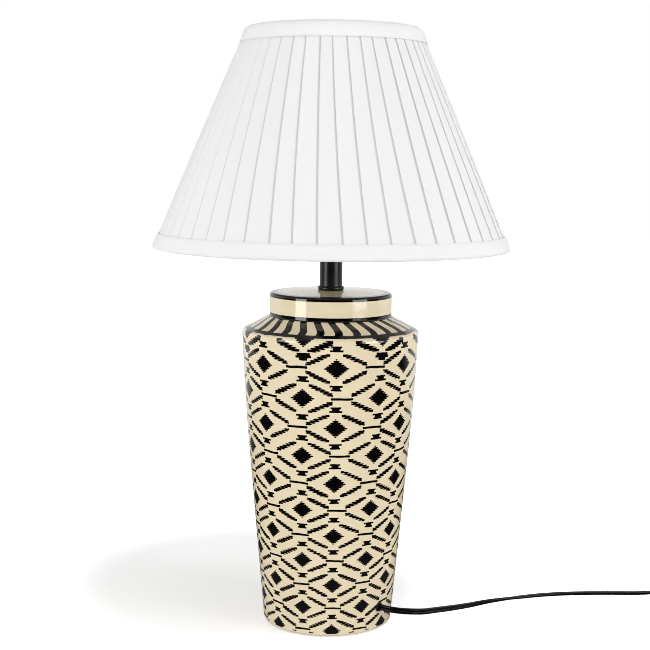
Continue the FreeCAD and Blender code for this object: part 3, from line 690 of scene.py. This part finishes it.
def pleat_profile():
    """One pleat's cloth from its raised fold on.

    Each point is its share of the pitch, and its millimetres beside that and into the shade.
    """
    outer, middle, inner = (depth / mm for depth in layer_depths)
    profile = []
    fold = (middle - outer) / 2
    for i in range(fold_steps + 1):
        angle = math.pi * i / fold_steps
        profile.append((0, -math.sin(angle) * fold, middle - fold * (1 - math.cos(angle))))
    for share in face_shares:
        drop = max(share - held_flat, 0) / (1 - held_flat)
        profile.append((share, 0, outer + (inner - outer) * drop ** 1.35))
    profile += [(1 + tuck * 0.5, 0, inner), (1 + tuck, 0, inner)]
    fold = (inner - middle) / 2
    for i in range(1, fold_steps):
        angle = math.pi * i / fold_steps
        profile.append((1 + tuck, math.sin(angle) * fold, inner - fold * (1 - math.cos(angle))))
    profile += [(1 + tuck, 0, middle), (1 + tuck * 0.5, 0, middle)]
    return profile


def strayed(slip, share):
    """How far a pleat has strayed, at a share of the shade's height."""
    low, high, bow = slip
    return math.radians(stray_low * low * (1 - share) + stray_high * high * share
                        + stray_bow * bow * math.sin(math.pi * share))


def cover_ring(share, profile, slips):
    """The cloth's points all round, at a share of the shade's height."""
    height = cover_bottom + (cover_top - cover_bottom) * share
    radius = cone_radius(height) + cover_belly * math.sin(math.pi * share)
    free = min(1, min(share, 1 - share) / pressed_share)
    lift = free * free * (3 - 2 * free)
    pitch = full_turn / pleat_count
    flat = layer_depths[1]
    ring = []
    for pleat, slip in enumerate(slips):
        azimuth = first_pleat + pitch * pleat
        lean = math.radians(pleat_lean + lean_change * math.sin(2 * (azimuth - lean_phase))) * share
        own = strayed(slip, share)
        after = strayed(slips[(pleat + 1) % pleat_count], share)
        swell = (swell_depth + swell_change * slip[2]) * share ** swell_growth
        for across, beside, depth in profile:
            moved = own + (after - own) * min(across, 1) + lean
            turn = azimuth + pitch * across + moved + beside * mm / radius
            puff = flat + (depth * mm - flat) * (0.75 + 0.25 * lift)
            if 0 < across < 1:
                puff -= lift * swell * math.sin(math.pi * across)
            ring.append(around(turn, radius - puff, height))
    return ring


def shade_cover(material):
    """Knife pleats: one strip folded all round, each pleat a little off its place."""
    profile = pleat_profile()
    slips = [[chance.uniform(-1, 1) for _ in range(3)] for _ in range(pleat_count)]
    rings = [cover_ring(level / cover_levels, profile, slips) for level in range(cover_levels + 1)]
    points = [point for ring in rings for point in ring]
    # Marks for the painted fold shade beside and under each fold.
    fold_shade_marks = [float(across > fold_shade_from) for across, _, _ in profile] * pleat_count * len(rings)

    foot = rings[0]
    count = len(foot)
    along = [0.0]
    for i in range(count):
        along.append(along[-1] + (foot[(i + 1) % count] - foot[i]).length)
    slant = (cover_top - cover_bottom) * slope_length / cover_levels
    uv = []
    for level in range(cover_levels):
        low, high = level * slant, (level + 1) * slant
        for left, right in zip(along, along[1:]):
            uv.append(((left, low), (right, low), (right, high), (left, high)))
    faces = faces_between(len(rings), count)
    piece = piece_from("pleated_cover", points, faces, material, "shade", uv)
    shadow = piece.data.attributes.new("fold_shadow", "FLOAT", "POINT")
    shadow.data.foreach_set("value", fold_shade_marks)
    thicken = piece.modifiers.new("cloth", "SOLIDIFY")
    thicken.thickness = cloth_thickness
    thicken.offset = 0
    finish_modifiers(piece)
    bpy.ops.object.shade_smooth_by_angle(angle=math.radians(60))
    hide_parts("shade_cover")
    width = along[-1]
    length = slant * cover_levels
    top_share = cone_radius(cover_top) / cone_radius(cover_bottom)
    width * length * (1 + top_share) / 2


trim_steps = 288


def trim_band(name, node, profile, ripple, material):
    """A band of cloth folded over one edge of the shade: a closed section swept all round.

    It ripples over each pleat, and two slower waves make that uneven.
    """
    points, faces, uv = [], [], []
    count = len(profile)
    run = [0.0]
    for i in range(count):
        run.append(run[-1] + math.dist(profile[i], profile[(i + 1) % count]))
    mean = sum(r for r, _ in profile) / count
    for i in range(trim_steps):
        azimuth = full_turn * i / trim_steps
        wave = (math.sin(azimuth * pleat_count) + 0.6 * math.sin(azimuth * 17 + 1)
                + 0.5 * math.sin(azimuth * 31 + 2))
        for r, z in profile:
            points.append(around(azimuth, r + ripple * wave, z))
    for i in range(trim_steps):
        here, there = i * count, (i + 1) % trim_steps * count
        low, high = mean * full_turn * i / trim_steps, mean * full_turn * (i + 1) / trim_steps
        for j in range(count):
            k = (j + 1) % count
            faces.append((here + j, there + j, there + k, here + k))
            uv.append(((low, run[j]), (high, run[j]), (high, run[j + 1]), (low, run[j + 1])))
    piece = piece_from(name, points, faces, material, "shade", uv)
    outward(piece)
    bpy.ops.object.shade_smooth_by_angle(angle=math.radians(60))
    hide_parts(node)
    full_turn * mean


def band_profile(outer, inner):
    """A band's closed section from the radii and heights, in millimetres, of its two faces."""
    return [(r * mm, z * mm) for r, z in outer + inner[::-1]]


def shade_trims(material):
    bottom = band_profile(
        [(150.8, 346.6), (151.3, 346.3), (152.6, 344.0), (154.0, 341.0), (155.0, 338.5),
         (155.75, 336.4), (155.6, 334.9), (154.8, 333.9), (153.1, 333.5), (150.0, 333.5),
         (147.2, 333.6)],
        [(150.1, 346.0), (150.6, 344.0), (151.9, 341.1), (153.4, 338.4),
         (154.7, 336.3), (154.6, 335.2), (154.0, 334.6), (152.8, 334.4), (150.0, 334.4),
         (147.2, 334.5)],
    )
    trim_band("bottom_trim", "shade_bottom_trim", bottom, 0.06 * mm, material)
    top = band_profile(
        [(80.7, 509.7), (80.9, 510.3), (80.1, 512.6), (79.2, 515.5), (78.0, 518.5),
         (76.1, 521.2), (73.7, 522.8), (71.0, 523.4), (68.9, 523.3)],
        [(79.9, 510.2), (79.2, 512.5), (78.3, 515.2), (77.1, 518.1), (75.3, 520.5),
         (73.3, 521.9), (71.0, 522.5), (68.9, 522.4)],
    )
    trim_band("top_trim", "shade_top_trim", top, 0.05 * mm, material)


# Floor and light

# Round the lamp, off to its left and behind where its shadow falls, the floor glows less to the
# camera, so that the real shadow shows there and the dimmer glow reads as a painted shadow pool;
# further out it is plain white.
shadow_pool_centre = (-0.085, 0.1)
shadow_pool_reach = (0.205, 0.24)


def eased(tree, source, start, end, low, high):
    """A value that eases from low to high while the source goes from start to end."""
    ramp = tree.nodes.new("ShaderNodeMapRange")
    ramp.interpolation_type = "SMOOTHSTEP"
    ramp.inputs["From Min"].default_value = start
    ramp.inputs["From Max"].default_value = end
    ramp.inputs["To Min"].default_value = low
    ramp.inputs["To Max"].default_value = high
    tree.links.new(source, ramp.inputs["Value"])
    return Value(tree, ramp.outputs["Result"])


def mixed(tree, share, first, second):
    mix = tree.nodes.new("ShaderNodeMixShader")
    for slot, socket in zip(mix.inputs, (share, first, second)):
        tree.links.new(socket, slot)
    return mix.outputs[0]


def length_of(tree, vector):
    made = tree.nodes.new("ShaderNodeVectorMath")
    made.operation = "LENGTH"
    tree.links.new(vector, made.inputs[0])
    return made.outputs["Value"]


def floor_material():
    material = bpy.data.materials.new("pale_floor")
    material.use_nodes = True
    tree = material.node_tree
    diffuse = tree.nodes["Principled BSDF"]
    diffuse.inputs["Base Color"].default_value = (0.8, 0.8, 0.8, 1)
    diffuse.inputs["Roughness"].default_value = 0.9
    diffuse.inputs["Specular IOR Level"].default_value = 0.0
    place = tree.nodes.new("ShaderNodeTexCoord").outputs["Object"]
    rays = tree.nodes.new("ShaderNodeLightPath")

    # Seen by the camera
    shadow_pool = tree.nodes.new("ShaderNodeMapping")
    shadow_pool.inputs["Scale"].default_value = (1 / shadow_pool_reach[0], 1 / shadow_pool_reach[1], 1)
    shadow_pool.inputs["Location"].default_value = (
        -shadow_pool_centre[0] / shadow_pool_reach[0], -shadow_pool_centre[1] / shadow_pool_reach[1], 0)
    tree.links.new(place, shadow_pool.inputs["Vector"])
    away = length_of(tree, shadow_pool.outputs[0])
    lit = tree.nodes.new("ShaderNodeBsdfDiffuse")
    lit.inputs["Color"].default_value = (0.9, 0.9, 0.9, 1)
    glow = tree.nodes.new("ShaderNodeEmission")
    # Painted shadow pool: the floor's glow is dimmer near the lamp's shadow and full white further
    # out.
    pool_glow = eased(tree, away, start=0.6, end=1.25, low=0.36, high=1.0)
    tree.links.new(pool_glow.socket, glow.inputs["Strength"])
    seen = tree.nodes.new("ShaderNodeAddShader")
    tree.links.new(lit.outputs[0], seen.inputs[0])
    tree.links.new(glow.outputs[0], seen.inputs[1])

    # The glaze mirrors a floor that is dim at the lamp's foot, dark round it and pale far behind.
    split = tree.nodes.new("ShaderNodeSeparateXYZ")
    tree.links.new(place, split.inputs[0])
    near = eased(tree, length_of(tree, place), start=0.12, end=0.3, low=0.12, high=0.02)
    behind = eased(tree, split.outputs["Y"], start=0.3, end=0.9, low=0.0, high=0.7)
    mirrored = tree.nodes.new("ShaderNodeEmission")
    tree.links.new((near + behind).socket, mirrored.inputs["Strength"])

    plain = mixed(tree, rays.outputs["Is Glossy Ray"], diffuse.outputs[0], mirrored.outputs[0])
    shown = mixed(tree, rays.outputs["Is Camera Ray"], plain, seen.outputs[0])
    tree.links.new(shown, tree.nodes["Material Output"].inputs[0])
    return material


def floor():
    bpy.ops.object.select_all(action="DESELECT")
    bpy.ops.mesh.primitive_plane_add(size=12)
    plane = bpy.context.active_object
    plane.name = "floor"
    plane.data.materials.append(floor_material())


def sky():
    """Dim light from all sides, and plain white to the camera."""
    world = bpy.data.worlds.new("studio")
    world.use_nodes = True
    scene.world = world
    tree = world.node_tree
    light = tree.nodes["Background"]
    light.inputs["Color"].default_value = (1, 1, 1, 1)
    light.inputs["Strength"].default_value = 0.38
    rays = tree.nodes.new("ShaderNodeLightPath")
    seen = tree.nodes.new("ShaderNodeBackground")
    seen.inputs["Color"].default_value = (1, 1, 1, 1)

    # The glaze mirrors it white behind and beside the lamp, and dim towards the camera.
    split = tree.nodes.new("ShaderNodeSeparateXYZ")
    tree.links.new(tree.nodes.new("ShaderNodeTexCoord").outputs["Generated"], split.inputs[0])
    mirrored = tree.nodes.new("ShaderNodeBackground")
    mirrored.inputs["Color"].default_value = (1, 1, 1, 1)
    pale = eased(tree, split.outputs["Y"], start=-0.8, end=0.2, low=0.06, high=1.0)
    tree.links.new(pale.socket, mirrored.inputs["Strength"])
    plain = mixed(tree, rays.outputs["Is Glossy Ray"], light.outputs[0], mirrored.outputs[0])
    clear = Value(tree, rays.outputs["Is Camera Ray"]).either(
        Value(tree, rays.outputs["Is Transmission Ray"]))
    shown = mixed(tree, clear.socket, plain, seen.outputs[0])
    tree.links.new(shown, tree.nodes["World Output"].inputs[0])


def softbox(name, azimuth, distance, height, width, tall, power):
    """A white panel that faces the lamp's middle, azimuth in degrees from the front."""
    data = bpy.data.lights.new(name, "AREA")
    data.shape = "RECTANGLE"
    data.size = width
    data.size_y = tall
    data.energy = power
    lamp = bpy.data.objects.new(name, data)
    scene.collection.objects.link(lamp)
    place = around(math.radians(azimuth), distance, height)
    aim = Vector((0, 0, 0.25)) - place
    turn = aim.to_track_quat("-Z", "Y").to_matrix().to_4x4()
    lamp.matrix_world = Matrix.Translation(place) @ turn


def lights():
    softbox("softbox_left", -57, distance=1.7, height=0.52, width=0.7, tall=1.1, power=16.5)
    softbox("softbox_right", 56, distance=1.7, height=0.48, width=0.9, tall=0.8, power=14.5)
    softbox("softbox_top", 35, distance=0.68, height=1.85, width=0.5, tall=0.5, power=6.5)


photo_camera()
floor()
sky()
lights()
lamp_cord(dress_nodes())
shade_cover(woven("pleated_cloth", (0.86, 0.86, 0.855), (0.82, 0.82, 0.815)))
shade_trims(woven("trim_weave", (0.87, 0.87, 0.865), (0.83, 0.83, 0.825)))
scene.view_settings.view_transform = "Standard"

# The photograph's edges are crisp.
scene.cycles.filter_width = 0.9
